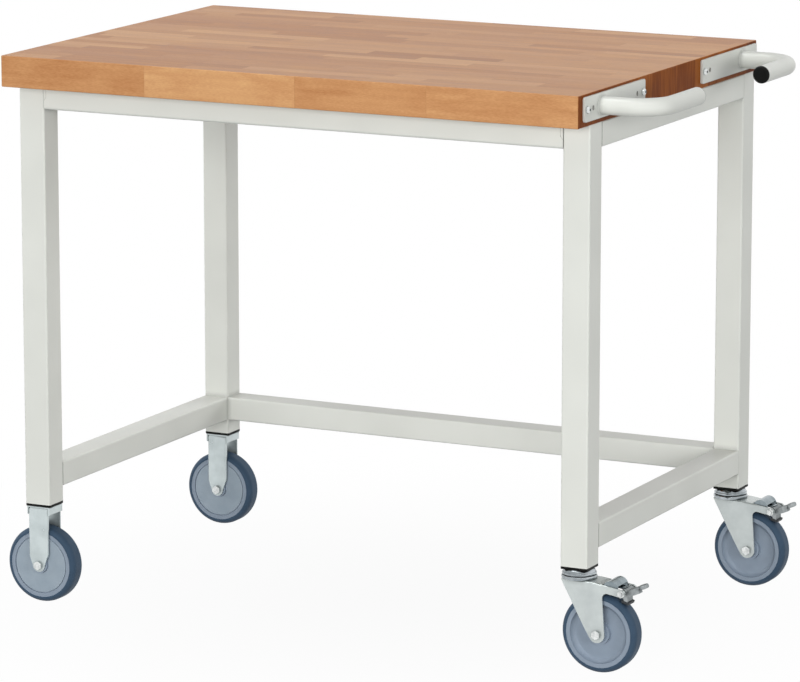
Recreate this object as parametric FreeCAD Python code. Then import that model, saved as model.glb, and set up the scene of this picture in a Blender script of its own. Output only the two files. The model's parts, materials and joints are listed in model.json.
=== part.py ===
import FreeCAD, Part
import math
import os

Vector = FreeCAD.Vector
X_AXIS = Vector(1, 0, 0)
Y_AXIS = Vector(0, 1, 0)
Z_AXIS = Vector(0, 0, 1)
ORIGIN = Vector(0, 0, 0)

# Mobile workbench, all sizes in millimetres.
# +X points to the end with the push handles, +Y to the back, +Z up from the floor.

# Smallest length that counts, for picking edges
tolerance = 0.001

# Worktop
worktop_length = 1000.0
worktop_depth = 700.0
worktop_thickness = 50.0
worktop_edge_radius = 1.5
working_height = 900.0
side_overhang = 2.5
front_overhang = 50.0
rear_overhang = 0.0

# Welded frame of square tube
tube_width = 45.0
tube_wall = 2.0
tube_corner = 3.0
tube_inside_corner = 1.0
rail_height = 40.0
leg_below_rail = 24.0

# Folded long rails under the worktop and the brackets that carry them
rail_sheet = 2.5
rail_bend = 2.0
rail_flange = 34.0
rail_end_gap = 0.4
bracket_thickness = 4.0
bracket_upright = 20.0
bracket_taper = 6.0
rail_screw_diameter = 8.0
rail_screw_head = 13.0
rail_screw_head_height = 5.3
rail_screw_length = 14.0
rail_screw_spread = 16.0
worktop_screw_diameter = 5.0
worktop_screw_head = 10.0
worktop_screw_head_height = 3.5
worktop_screw_length = 35.0
worktop_screw_inset = 80.0
worktop_screws_per_rail = 4

# Plastic plugs in the feet of the legs
plug_flange = 4.0
plug_depth = 32.0
plug_play = 0.2
stem_diameter = 12.0
stem_length = 26.0
seat_play = 0.05

# Push handles on the right-hand end
handle_plate_length = 225.0
handle_plate_height = 38.0
handle_plate_thickness = 4.0
handle_plate_corner = 4.0
handle_plate_drop = 4.0
handle_front_margin = 16.0
handle_rear_margin = 8.0
handle_root = 61.0
handle_tube_diameter = 28.0
handle_tube_wall = 2.0
handle_bend_radius = 50.0
handle_reach = 97.0
handle_span = 148.0
handle_plug_lip = 4.0
handle_plug_flat = 22.4
handle_plug_depth = 16.0
handle_hole_diameter = 7.5
handle_screw_diameter = 6.0
handle_screw_head = 11.0
handle_screw_head_height = 4.5
handle_screw_rim = 1.1
handle_screw_flat = 4.8
handle_screw_length = 38.0
handle_screw_socket = 4.0
handle_screw_inset = 8.5
handle_hole_inset = 30.5

# Wheels
wheel_diameter = 125.0
wheel_width = 32.0
tyre_depth = 10.5
tyre_flat = 13.0
tyre_side = 2.5
rim_lip = 2.0
rim_lip_width = 3.0
rim_inset = 0.5
rim_ring = 6.5
rim_recess = 2.0
rim_ledge = 3.0
web_slope = 4.0
web_width = 14.0
hub_diameter = 35.0
hub_width = 38.0
hub_neck = 27.0
hub_play = 0.8
bearing_diameter = 22.0
bearing_width = 7.0
running_play = 0.05
sleeve_diameter = 12.0
axle_diameter = 8.0
axle_head = 13.0
axle_head_height = 5.0
axle_nut_height = 6.5
axle_thread_end = 1.5
cover_play = 0.4
cover_groove = 1.4

# Caster forks
fork_headroom = 35.0
fork_sheet = 2.5

# Fixed casters
fixed_fork_width = 36.0
fixed_fork_end_radius = 11.0
fixed_fork_taper = 20.0
fixed_fork_lip = 1.8
fixed_fork_bend = 7.0
fixed_fork_edge = 3.5
fixed_fork_arch = 6.0
fixed_bridge_width = 43.0
fixed_bridge_height = 14.0
fixed_bridge_setback = 0.8
fixed_bridge_corner = 3.0
fixed_stem_head = 19.0
fixed_stem_head_height = 7.5

# Swivel casters
trail = 39.0
cap_height = 9.0
cap_diameter = 54.0
cap_top_diameter = 43.0
cap_band = 3.6
cap_step = 0.7
seal_height = 0.9
seal_gap = 0.3
seal_diameter = 51.0
seal_width = 6.0
race_height = 5.3
race_diameter = 56.0
race_edge = 1.2
king_pin_diameter = 12.0
king_pin_flange = 24.0
king_pin_flange_height = 3.0
fork_front_angle = 145.0
fork_front_radius = 6.0
fork_crease = 18.0
fork_crease_radius = 45.0
fork_crown_radius = 3.2
fork_front_drop = 3.5
fork_end_radius = 13.0
fork_back_lean = 4.0
fork_arch_radius = 8.0
fork_arch_gap = 4.0
fork_roof_fall = 2.5

# Brake of the swivel casters
brake_pivot_gap = 17.5
brake_pivot_angle = 59.0
brake_arm_radius = 6.0
brake_arm_foot_angle = -95.0
brake_pin_diameter = 6.0
brake_pin_head = 10.0
brake_pin_head_height = 4.0
brake_hub_diameter = 11.0
brake_hub_width = 30.0
brake_travel = 20.0
brake_hood_radius = 13.0
brake_hood_sheet = 2.0
brake_hood_offset = 19.5
brake_hood_rise = 4.5
brake_hood_gap = 0.5
brake_hood_front_angle = 160.0
brake_hood_rear_angle = 25.0
brake_hood_end_front = 185.0
brake_hood_end_rear = -15.0
pedal_sheet = 3.0
pedal_length = 37.0
pedal_slope = 20.0
pedal_root_width = 22.0
pedal_root_length = 16.0
pedal_neck = 12.0
pedal_neck_at = 22.0
pedal_tip_width = 19.0
pedal_tip_thickness = 6.5
pedal_tip_round = 2.2
pedal_skirt = 8.0
pedal_skirt_sheet = 2.0
shoe_gap = 0.6
shoe_depth = 4.0
shoe_width = 22.0
shoe_lag = 4.5
shoe_half_span = 6.0
shoe_web = 3.0
shoe_web_lean = 15.0
shoe_web_spread = 65.0
shoe_web_sink = 1.0
spring_sheet = 1.0
spring_width = 14.0
spring_foot = 16.0
spring_play = 0.3

# How far rounded heads and caps bow out, as a share of the arc's chord
head_bow = 0.15

# Sizes that follow from the ones above
wheel_radius = wheel_diameter / 2
caster_height = wheel_diameter + fork_headroom
leg_foot = caster_height + plug_flange
frame_top = working_height - worktop_thickness
lower_rail_foot = leg_foot + leg_below_rail
upper_rail_foot = frame_top - rail_height
fork_inner = hub_width / 2 + hub_play
fork_outer = fork_inner + fork_sheet
race_top = caster_height - cap_height - seal_gap - seal_height
crown_top = race_top - race_height
tyre_inner = wheel_radius - tyre_depth
rim_outer = tyre_inner + rim_lip
rim_inner = rim_outer - rim_ring
rim_face = wheel_width / 2 - rim_inset
axle_reach = fork_outer + max(axle_head_height, axle_nut_height + axle_thread_end)

# Reach of the whole bench from the middle of the worktop, which places the origin
leg_half_x = worktop_length / 2 - side_overhang - tube_width / 2
leg_front_y = worktop_depth / 2 - front_overhang - tube_width / 2
leg_rear_y = worktop_depth / 2 - rear_overhang - tube_width / 2
brake_pivot_reach = trail + (wheel_radius + brake_pivot_gap) * math.cos(math.radians(brake_pivot_angle))
caster_half_depth = max(race_diameter / 2, axle_reach)
left_reach = max(worktop_length / 2, leg_half_x + wheel_radius)
right_reach = max(
    worktop_length / 2 + handle_reach + handle_tube_diameter / 2,
    leg_half_x + brake_pivot_reach + pedal_length,
)
front_reach = max(worktop_depth / 2, leg_front_y + caster_half_depth)
rear_reach = max(worktop_depth / 2, leg_rear_y + caster_half_depth)
worktop_x = (left_reach - right_reach) / 2
worktop_y = (front_reach - rear_reach) / 2
left_x = worktop_x - leg_half_x
right_x = worktop_x + leg_half_x
front_y = worktop_y - leg_front_y
rear_y = worktop_y + leg_rear_y
end_face_x = worktop_x + worktop_length / 2


def on_xy(a, b):
    return Vector(a, b, 0)


def on_xz(a, b):
    return Vector(a, 0, b)


def on_yz(a, b):
    return Vector(0, a, b)


# A path is a list of corners; (a, b) is reached by a straight run,
# (mid_a, mid_b, a, b) by an arc through the first two values.
def face_of(path, plane):
    edges = []
    here = path[0][-2:]
    for entry in path[1:] + [path[0][-2:]]:
        there = entry[-2:]
        if len(entry) == 4:
            edges.append(Part.Arc(plane(*here), plane(*entry[:2]), plane(*there)).toShape())
        elif math.dist(here, there) > tolerance:
            edges.append(Part.makeLine(plane(*here), plane(*there)))
        here = there
    return Part.Face(Part.Wire(edges))


def polar(centre, radius, degrees):
    angle = math.radians(degrees)
    return (centre[0] + radius * math.cos(angle), centre[1] + radius * math.sin(angle))


# Arc about a centre from one angle to another, as an entry of a path.
def arc_to(centre, radius, start, end):
    return polar(centre, radius, (start + end) / 2) + polar(centre, radius, end)


# Arc between two points that bows to the right of the way from the first to the second.
def bowed(start, end):
    middle_a = (start[0] + end[0]) / 2 + (end[1] - start[1]) * head_bow
    middle_b = (start[1] + end[1]) / 2 + (start[0] - end[0]) * head_bow
    return (middle_a, middle_b) + end


def moved(shape, x=0.0, y=0.0, z=0.0):
    copy = shape.copy()
    copy.translate(Vector(x, y, z))
    return copy


def rod(radius, length, start, axis):
    return Part.makeCylinder(radius, length, start, axis)


def hexagon(across, height, start, axis):
    corner = across / math.sqrt(3)
    path = [polar((0, 0), corner, 30 + 60 * step) for step in range(6)]
    prism = face_of(path, on_xy).extrude(Vector(0, 0, height))
    prism.Placement = FreeCAD.Placement(start, FreeCAD.Rotation(Z_AXIS, axis))
    return prism


def rounded_rectangle(width, depth, corner, plane):
    a = width / 2
    b = depth / 2
    inner_a = a - corner
    inner_b = b - corner
    bow = corner * math.sqrt(0.5)
    path = [
        (-inner_a, -b),
        (inner_a, -b),
        (inner_a + bow, -inner_b - bow, a, -inner_b),
        (a, inner_b),
        (inner_a + bow, inner_b + bow, inner_a, b),
        (-inner_a, b),
        (-inner_a - bow, inner_b + bow, -a, inner_b),
        (-a, -inner_b),
        (-inner_a - bow, -inner_b - bow, -inner_a, -b),
    ]
    return face_of(path, plane)


def square_tube(width, depth, plane, run):
    outside = rounded_rectangle(width, depth, tube_corner, plane)
    inside = rounded_rectangle(width - 2 * tube_wall, depth - 2 * tube_wall, tube_inside_corner, plane)
    return outside.cut(inside).extrude(run)


def leg():
    return square_tube(tube_width, tube_width, on_xy, Vector(0, 0, frame_top - leg_foot))


def side_rail():
    length = leg_front_y + leg_rear_y - tube_width
    return square_tube(tube_width, rail_height, on_xz, Vector(0, length, 0))


def lower_rear_rail():
    length = 2 * leg_half_x - tube_width
    return square_tube(tube_width, rail_height, on_yz, Vector(length, 0, 0))


def worktop_screw_places():
    first = -leg_half_x + tube_width / 2 + worktop_screw_inset
    step = -2 * first / (worktop_screws_per_rail - 1)
    return [first + step * index for index in range(worktop_screws_per_rail)]


def rail_screw_heights():
    middle = frame_top - rail_height / 2
    return [middle - rail_screw_spread / 2, middle + rail_screw_spread / 2]


def rail_screw_depth():
    return (rail_flange + rail_sheet) / 2


# Bracket on the inner side of a left-hand leg, seen from the front: upright, then tapered to the leg.
def bracket_outline(grow):
    wide = bracket_thickness + grow
    low = frame_top - bracket_upright - grow
    return [(0, frame_top), (wide, frame_top), (wide, low), (0, low - bracket_taper)]


def rail_bracket():
    plate = face_of(bracket_outline(0.0), on_xz).extrude(Vector(0, rail_flange, 0))
    for height in rail_screw_heights():
        start = Vector(-bracket_thickness, rail_screw_depth(), height)
        plate = plate.cut(rod(rail_screw_diameter / 2 + seat_play, 3 * bracket_thickness, start, X_AXIS))
    return plate


# Long rail as a folded channel, open to the inside of the frame, with a tab folded in at each end.
def long_rail():
    half = leg_half_x - tube_width / 2
    outside = Part.makeBox(2 * half, rail_flange, rail_height, Vector(-half, 0, upper_rail_foot))
    long_edges = [edge for edge in outside.Edges if edge.BoundBox.XLength > half]
    bends = [edge for edge in long_edges if edge.BoundBox.YMax < tolerance]
    outside = outside.makeFillet(rail_bend + rail_sheet, bends)
    inside = Part.makeBox(
        2 * half,
        rail_flange,
        rail_height - 2 * rail_sheet,
        Vector(-half, rail_sheet, upper_rail_foot + rail_sheet),
    )
    folds = [edge for edge in inside.Edges if edge.BoundBox.YMax < rail_sheet + tolerance]
    folds = [edge for edge in folds if edge.BoundBox.XLength > half]
    rail = outside.cut(inside.makeFillet(rail_bend, folds))
    tab_start = bracket_thickness + rail_end_gap
    for side in (-1, 1):
        notch = face_of(bracket_outline(rail_end_gap), on_xz).extrude(Vector(0, rail_flange, 0))
        tab = Part.makeBox(
            rail_sheet,
            rail_flange - rail_bend - rail_sheet,
            rail_height - 2 * rail_sheet,
            Vector(tab_start, rail_sheet, upper_rail_foot + rail_sheet),
        )
        if side > 0:
            notch = notch.mirror(ORIGIN, X_AXIS)
            tab = tab.mirror(ORIGIN, X_AXIS)
        rail = rail.cut(moved(notch, x=side * half))
        rail = rail.fuse(moved(tab, x=side * half))
        for height in rail_screw_heights():
            start = Vector(side * half, rail_screw_depth(), height)
            bore = rod(rail_screw_diameter / 2 + seat_play, tab_start + 2 * rail_sheet, start, X_AXIS * -side)
            rail = rail.cut(bore)
    for place in worktop_screw_places():
        start = Vector(place, rail_screw_depth(), frame_top - 2 * rail_sheet)
        rail = rail.cut(rod(worktop_screw_diameter / 2 + seat_play, 3 * rail_sheet, start, Z_AXIS))
    return rail.removeSplitter()


# Screws of one long rail: hexagon heads against the end tabs, shanks through bracket and leg wall.
def rail_screws():
    screws = []
    half = leg_half_x - tube_width / 2
    for side in (-1, 1):
        tab_face = side * (half - bracket_thickness - rail_end_gap - rail_sheet)
        for height in rail_screw_heights():
            start = Vector(tab_face, rail_screw_depth(), height)
            head = hexagon(rail_screw_head, rail_screw_head_height, start, X_AXIS * -side)
            shank = rod(rail_screw_diameter / 2, rail_screw_length, start, X_AXIS * side)
            screws.append(head.fuse(shank).removeSplitter())
    return screws


def worktop_screws():
    screws = []
    for place in worktop_screw_places():
        start = Vector(place, rail_screw_depth(), frame_top - rail_sheet)
        crown = (0, -worktop_screw_head_height)
        path = [
            crown,
            bowed(crown, (worktop_screw_head / 2, 0)),
            (worktop_screw_diameter / 2, 0),
            (worktop_screw_diameter / 2, worktop_screw_length),
            (0, worktop_screw_length),
        ]
        screw = face_of(path, on_xz).revolve(ORIGIN, Z_AXIS, 360)
        screw.translate(start)
        screws.append(screw)
    return screws


def worktop():
    corner = Vector(-worktop_length / 2, -worktop_depth / 2, frame_top)
    board = Part.makeBox(worktop_length, worktop_depth, worktop_thickness, corner)
    return board.makeFillet(worktop_edge_radius, board.Edges)


def leg_holes(side, to_back):
    holes = []
    for height in rail_screw_heights():
        start = Vector(side * (tube_width / 2 - 2 * tube_wall), to_back, height - leg_foot)
        holes.append(rod(rail_screw_diameter / 2 + seat_play, 4 * tube_wall, start, X_AXIS * side))
    return holes


def leg_plug():
    flange = rounded_rectangle(tube_width, tube_width, tube_corner, on_xy)
    flange = flange.extrude(Vector(0, 0, plug_flange))
    inside = tube_width - 2 * tube_wall - 2 * plug_play
    body = rounded_rectangle(inside, inside, tube_inside_corner, on_xy)
    body = moved(body.extrude(Vector(0, 0, plug_depth)), z=plug_flange)
    bore = rod(stem_diameter / 2 + seat_play, plug_flange + plug_depth, ORIGIN, Z_AXIS)
    return flange.fuse(body).cut(bore).removeSplitter()


# A handle stands on the plane x = 0 with its outer end at y = 0 and bends towards +y.
def handle_plate():
    plate = rounded_rectangle(handle_plate_length, handle_plate_height, handle_plate_corner, on_yz)
    plate = moved(plate.extrude(Vector(handle_plate_thickness, 0, 0)), y=handle_plate_length / 2)
    for inset in handle_screw_places():
        hole = rod(handle_screw_diameter / 2 + seat_play, handle_plate_thickness, Vector(0, inset, 0), X_AXIS)
        plate = plate.cut(hole)
    for inset in (handle_hole_inset, handle_plate_length - handle_hole_inset):
        hole = rod(handle_hole_diameter / 2, handle_plate_thickness, Vector(0, inset, 0), X_AXIS)
        plate = plate.cut(hole)
    return plate


def handle_screw_places():
    return (handle_screw_inset, handle_plate_length - handle_screw_inset)


def bent_rod(radius):
    straight_out = handle_reach - handle_bend_radius - handle_plate_thickness
    straight_in = handle_span - handle_bend_radius
    out = rod(radius, straight_out, Vector(handle_plate_thickness, 0, 0), X_AXIS)
    corner_x = handle_reach - handle_bend_radius
    section = Part.Face(Part.Wire(Part.makeCircle(radius, Vector(corner_x, 0, 0), X_AXIS)))
    bend = section.revolve(Vector(corner_x, handle_bend_radius, 0), Z_AXIS, 90)
    along = rod(radius, straight_in, Vector(handle_reach, handle_bend_radius, 0), Y_AXIS)
    return out.fuse([bend, along]).removeSplitter()


def handle_tube():
    outer = handle_tube_diameter / 2
    tube = bent_rod(outer).cut(bent_rod(outer - handle_tube_wall))
    return moved(tube, y=handle_root)


def handle_plug():
    outer = handle_tube_diameter / 2
    inner = outer - handle_tube_wall
    rim = (outer, 0)
    path = [
        (0, -handle_plug_depth),
        (inner, -handle_plug_depth),
        (inner, 0),
        rim,
        bowed(rim, (handle_plug_flat / 2, handle_plug_lip)),
        (0, handle_plug_lip),
    ]
    plug = face_of(path, on_xy).revolve(ORIGIN, Y_AXIS, 360)
    return moved(plug, x=handle_reach, y=handle_root + handle_span)


def handle_screws():
    seat = handle_plate_thickness
    tip = seat - handle_screw_length
    top = seat + handle_screw_head_height
    rim = (seat + handle_screw_rim, handle_screw_head / 2)
    crown = (top, handle_screw_flat / 2)
    path = [
        (top, 0),
        crown,
        bowed(crown, rim),
        (seat, handle_screw_head / 2),
        (seat, handle_screw_diameter / 2),
        (tip, handle_screw_diameter / 2),
        (tip, 0),
    ]
    screws = []
    for place in handle_screw_places():
        screw = face_of(path, on_xy).revolve(ORIGIN, X_AXIS, 360)
        start = Vector(seat + handle_screw_head_height / 2, 0, 0)
        screw = screw.cut(hexagon(handle_screw_socket, handle_screw_head_height, start, X_AXIS))
        screws.append(moved(screw, y=place))
    return screws


# The tyre is moulded round the rim; its round shoulders run smoothly into the flat of the tread.
def tyre():
    half = wheel_width / 2
    seat = half - rim_lip_width
    side = rim_outer + tyre_side
    flat = tyre_flat / 2
    drop = wheel_radius - side
    run = half - flat
    shoulder = (drop * drop + run * run) / (2 * drop)
    centre = (wheel_radius - shoulder, flat)
    turn = math.degrees(math.atan2(run, shoulder - drop))
    bulge_r, bulge_y = polar(centre, shoulder, turn / 2)
    path = [
        (tyre_inner, -seat),
        (rim_outer, -seat),
        (rim_outer, -half),
        (side, -half),
        (bulge_r, -bulge_y, wheel_radius, -flat),
        (wheel_radius, flat),
        (bulge_r, bulge_y, side, half),
        (rim_outer, half),
        (rim_outer, seat),
        (tyre_inner, seat),
    ]
    return face_of(path, on_xy).revolve(ORIGIN, Y_AXIS, 360)


# Rim with a flat ring, a dish and a hub that holds two bearings; a covered wheel has a ledge in its dish.
def wheel_core(covered):
    ledge = rim_face - rim_recess
    ledge_inner = rim_inner - rim_ledge
    rim_corner = (rim_inner, rim_face)
    web = web_width / 2
    dish_foot = (ledge_inner - web_slope, web)
    neck = hub_neck / 2
    half_hub = hub_width / 2
    step = half_hub - bearing_width
    bearing = bearing_diameter / 2
    bore = (bearing + sleeve_diameter / 2) / 2
    if covered:
        dish = [(rim_inner, ledge), (ledge_inner, ledge), dish_foot]
    else:
        dish = [bowed(dish_foot, rim_corner)[:2] + dish_foot]
    rim = [
        (tyre_inner, 0),
        (tyre_inner, wheel_width / 2 - rim_lip_width),
        (rim_outer, wheel_width / 2 - rim_lip_width),
        (rim_outer, rim_face),
        rim_corner,
    ]
    hub = [
        (hub_diameter / 2, web),
        (hub_diameter / 2, ledge),
        (neck, ledge),
        (neck, half_hub),
        (bearing, half_hub),
        (bearing, step),
        (bore, step),
        (bore, 0),
    ]
    half = face_of(rim + dish + hub, on_xy).revolve(ORIGIN, Y_AXIS, 360)
    return half.fuse(half.mirror(ORIGIN, Y_AXIS)).removeSplitter()


def wheel_bearings():
    ring = Part.Face(Part.Wire(Part.makeCircle(bearing_diameter / 2, ORIGIN, Y_AXIS)))
    hole = Part.Face(Part.Wire(Part.makeCircle(sleeve_diameter / 2 + running_play, ORIGIN, Y_AXIS)))
    bearing = ring.cut(hole).extrude(Vector(0, bearing_width, 0))
    return [moved(bearing, y=hub_width / 2 - bearing_width), moved(bearing, y=-hub_width / 2)]


# Flat discs that close the dish of a fixed wheel on both sides.
def wheel_covers():
    ledge = rim_face - rim_recess
    outer = rim_inner - cover_groove
    inner = hub_neck / 2 + cover_play
    edge = rim_recess / 4
    path = [
        (inner, ledge),
        (outer, ledge),
        (outer, rim_face - edge),
        (outer - edge, rim_face),
        (inner, rim_face),
    ]
    near = face_of(path, on_xy).revolve(ORIGIN, Y_AXIS, 360)
    return [near, near.mirror(ORIGIN, Y_AXIS)]


# Bolt with its head to the front, a distance sleeve between the fork cheeks, and a nut behind.
def axle():
    sleeve = rod(sleeve_diameter / 2, 2 * fork_inner, Vector(0, -fork_inner, 0), Y_AXIS)
    sleeve = sleeve.cut(rod(axle_diameter / 2, 2 * fork_inner, Vector(0, -fork_inner, 0), Y_AXIS))
    head = hexagon(axle_head, axle_head_height, Vector(0, -fork_outer, 0), -Y_AXIS)
    shank_length = 2 * fork_outer + axle_nut_height + axle_thread_end
    shank = rod(axle_diameter / 2, shank_length, Vector(0, -fork_outer, 0), Y_AXIS)
    nut = hexagon(axle_head, axle_nut_height, Vector(0, fork_outer, 0), Y_AXIS)
    nut = nut.cut(rod(axle_diameter / 2, axle_nut_height, Vector(0, fork_outer, 0), Y_AXIS))
    return [head.fuse(shank).removeSplitter(), sleeve, nut]


# Cheek outline of a fixed fork: straight sides, a taper and a round end at the axle.
def fixed_cheek():
    half = fixed_fork_width / 2
    end = fixed_fork_end_radius
    taper_top = wheel_radius + fixed_fork_taper
    path = [
        (-half, caster_height),
        (-half, taper_top),
        (-end, wheel_radius),
        (0, wheel_radius - end, end, wheel_radius),
        (half, taper_top),
        (half, caster_height),
    ]
    prism = face_of(path, on_xz).extrude(Vector(0, 4 * fork_outer, 0))
    return moved(prism, y=-2 * fork_outer)


# Strap of a fixed fork from the front: two uprights and a bridge with round bends.
def strap_prism(side, top, bend, width):
    bow = bend * (1 - math.sqrt(0.5))
    path = [
        (-side, 0),
        (-side, top - bend),
        (-side + bow, top - bow, -side + bend, top),
        (side - bend, top),
        (side - bow, top - bow, side, top - bend),
        (side, 0),
    ]
    return moved(face_of(path, on_yz).extrude(Vector(width, 0, 0)), x=-width / 2)


# Top of a fixed fork: a plate broader than the cheeks, with its two sides turned down.
def fixed_bridge():
    reach = fork_outer - fixed_bridge_setback
    half = fixed_bridge_width / 2
    foot = caster_height - fixed_bridge_height
    block = Part.makeBox(fixed_bridge_width, 2 * reach, fixed_bridge_height, Vector(-half, -reach, foot))
    side_edges = [edge for edge in block.Edges if edge.BoundBox.XLength < tolerance]
    block = block.makeFillet(fixed_bridge_corner, side_edges)
    room_start = Vector(-fixed_fork_width / 2, -reach, foot)
    room_height = fixed_bridge_height - fork_sheet
    return block.cut(Part.makeBox(fixed_fork_width, 2 * reach, room_height, room_start))


# Pressed fork of a fixed caster: a bridge over the wheel and two cheeks with turned-in edges.
def fixed_fork():
    outside = strap_prism(fork_outer, caster_height, fixed_fork_bend, fixed_fork_width)
    rim = [edge for edge in outside.Edges if edge.BoundBox.XLength < tolerance < edge.BoundBox.ZMax]
    outside = outside.makeFillet(fixed_fork_edge, rim)
    under_bridge = caster_height - fork_sheet
    pocket_width = fixed_fork_width - 2 * fork_sheet
    pocket = strap_prism(fork_inner, under_bridge, fixed_fork_bend - fork_sheet, pocket_width)
    arch = strap_prism(fork_inner - fixed_fork_lip, under_bridge, fixed_fork_arch, fixed_fork_width)
    fork = outside.cut([pocket, arch]).common(fixed_cheek()).fuse(fixed_bridge())
    stem_bore = rod(stem_diameter / 2 + seat_play, caster_height, Vector(0, 0, wheel_diameter), Z_AXIS)
    axle_start = Vector(0, -fork_outer, wheel_radius)
    axle_bore = rod(axle_diameter / 2 + seat_play, 2 * fork_outer, axle_start, Y_AXIS)
    return fork.cut([stem_bore, axle_bore]).removeSplitter()


# Bolt that holds a fixed fork up against its leg plug.
def fixed_stem():
    seat = caster_height - fork_sheet
    head = hexagon(fixed_stem_head, fixed_stem_head_height, Vector(0, 0, seat), -Z_AXIS)
    shank = rod(stem_diameter / 2, fork_sheet + stem_length, Vector(0, 0, seat), Z_AXIS)
    return head.fuse(shank).removeSplitter()


# Upper bearing cap with the stem above it and the riveted king pin below it.
def swivel_head():
    cap_foot = caster_height - cap_height
    pin = king_pin_diameter / 2
    flange_top = crown_top - fork_sheet - seal_gap
    flange_foot = flange_top - king_pin_flange_height
    shoulder = (cap_diameter / 2 - 2 * cap_step, cap_foot + cap_band)
    path = [
        (0, flange_foot),
        (king_pin_flange / 2, flange_foot),
        (king_pin_flange / 2, flange_top),
        (pin, flange_top),
        (pin, cap_foot),
        (cap_diameter / 2 - cap_step, cap_foot),
        (cap_diameter / 2, cap_foot + cap_band / 2, cap_diameter / 2 - cap_step, cap_foot + cap_band),
        shoulder,
        bowed(shoulder, (cap_top_diameter / 2, caster_height)),
        (stem_diameter / 2, caster_height),
        (stem_diameter / 2, caster_height + stem_length),
        (0, caster_height + stem_length),
    ]
    return face_of(path, on_xz).revolve(ORIGIN, Z_AXIS, 360)


# Lower bearing cup that turns with the fork.
def swivel_race():
    bore = king_pin_diameter / 2 + running_play
    outer = race_diameter / 2
    path = [
        (bore, crown_top),
        (outer - race_edge, crown_top),
        (outer, (crown_top + race_top) / 2, outer - race_edge, race_top),
        (bore, race_top),
    ]
    return face_of(path, on_xz).revolve(ORIGIN, Z_AXIS, 360)


def swivel_seal():
    outer = rod(seal_diameter / 2, seal_height, Vector(0, 0, race_top), Z_AXIS)
    return outer.cut(rod(seal_diameter / 2 - seal_width, seal_height, Vector(0, 0, race_top), Z_AXIS))


axle_point = (trail, wheel_radius)
brake_pivot = polar(axle_point, wheel_radius + brake_pivot_gap, brake_pivot_angle)
hood_centre = (brake_pivot[0] - brake_hood_offset, brake_pivot[1] + brake_hood_rise)
roof_end = hood_centre[0] - brake_hood_radius - brake_hood_gap
roof_end_height = crown_top - fork_roof_fall
fork_rear = brake_pivot[0] + brake_arm_radius


# Plan of the swivel fork: round front, flat sides that widen to a soft crease, then straight cheeks.
def fork_plan(inset):
    bow = race_diameter / 2 - inset
    bow_x, bow_y = polar((0, 0), bow, fork_front_angle)
    side = fork_outer - inset
    path = [
        (bow_x, -bow_y),
        (-bow, 0, bow_x, bow_y),
        (fork_crease, side),
        (fork_rear, side),
        (fork_rear, -side),
        (fork_crease, -side),
    ]
    prism = face_of(path, on_xy).extrude(Vector(0, 0, caster_height))
    upright = [edge for edge in prism.Edges if edge.BoundBox.ZLength > caster_height / 2]
    front = [edge for edge in upright if edge.BoundBox.XMax < 0]
    prism = prism.makeFillet(fork_front_radius - inset, front)
    upright = [edge for edge in prism.Edges if edge.BoundBox.ZLength > caster_height / 2]
    creases = [edge for edge in upright if abs(edge.BoundBox.XMax - fork_crease) < tolerance]
    return prism.makeFillet(fork_crease_radius - inset, creases)


# Roof line of the fork from the side, flat under the race and falling a little to the brake.
def fork_roof(inset, rear_height):
    front = -race_diameter
    bend = race_diameter / 2
    path = [
        (front, 0),
        (front, crown_top - inset),
        (bend, crown_top - inset),
        (roof_end, roof_end_height - inset),
        (roof_end, rear_height),
        (2 * fork_rear, rear_height),
        (2 * fork_rear, 0),
    ]
    prism = face_of(path, on_xz).extrude(Vector(0, 4 * fork_outer, 0))
    return moved(prism, y=-2 * fork_outer)


# Angle about a circle's centre at which a line from a point outside touches the circle.
def tangent_angle(point, centre, radius, turn):
    away = (point[0] - centre[0], point[1] - centre[1])
    reach = math.hypot(*away)
    return math.degrees(math.atan2(away[1], away[0]) + turn * math.acos(radius / reach))


# Cheek outline from the side: slanted front, round end at the axle, arch over the wheel, arm to the brake.
def fork_cheek():
    front_x = polar((0, 0), race_diameter / 2, fork_front_angle)[0]
    front_top = (front_x, crown_top - fork_front_drop)
    front_low = tangent_angle(front_top, axle_point, fork_end_radius, 1)
    arch = wheel_diameter + fork_arch_gap
    back_x = trail + fork_end_radius - fork_back_lean
    arch_centre = (back_x + fork_arch_radius, arch - fork_arch_radius)
    shoulder = (roof_end, roof_end_height)
    arm_top = tangent_angle(shoulder, brake_pivot, brake_arm_radius, -1)
    path = [
        (-race_diameter, caster_height),
        (-race_diameter, front_top[1]),
        front_top,
        polar(axle_point, fork_end_radius, front_low),
        arc_to(axle_point, fork_end_radius, front_low, 360),
        (back_x, arch_centre[1]),
        arc_to(arch_centre, fork_arch_radius, 180, 90),
        polar(brake_pivot, brake_arm_radius, brake_arm_foot_angle),
        arc_to(brake_pivot, brake_arm_radius, brake_arm_foot_angle, arm_top),
        shoulder,
        (roof_end, caster_height),
    ]
    prism = face_of(path, on_xz).extrude(Vector(0, 4 * fork_outer, 0))
    return moved(prism, y=-2 * fork_outer)


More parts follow.
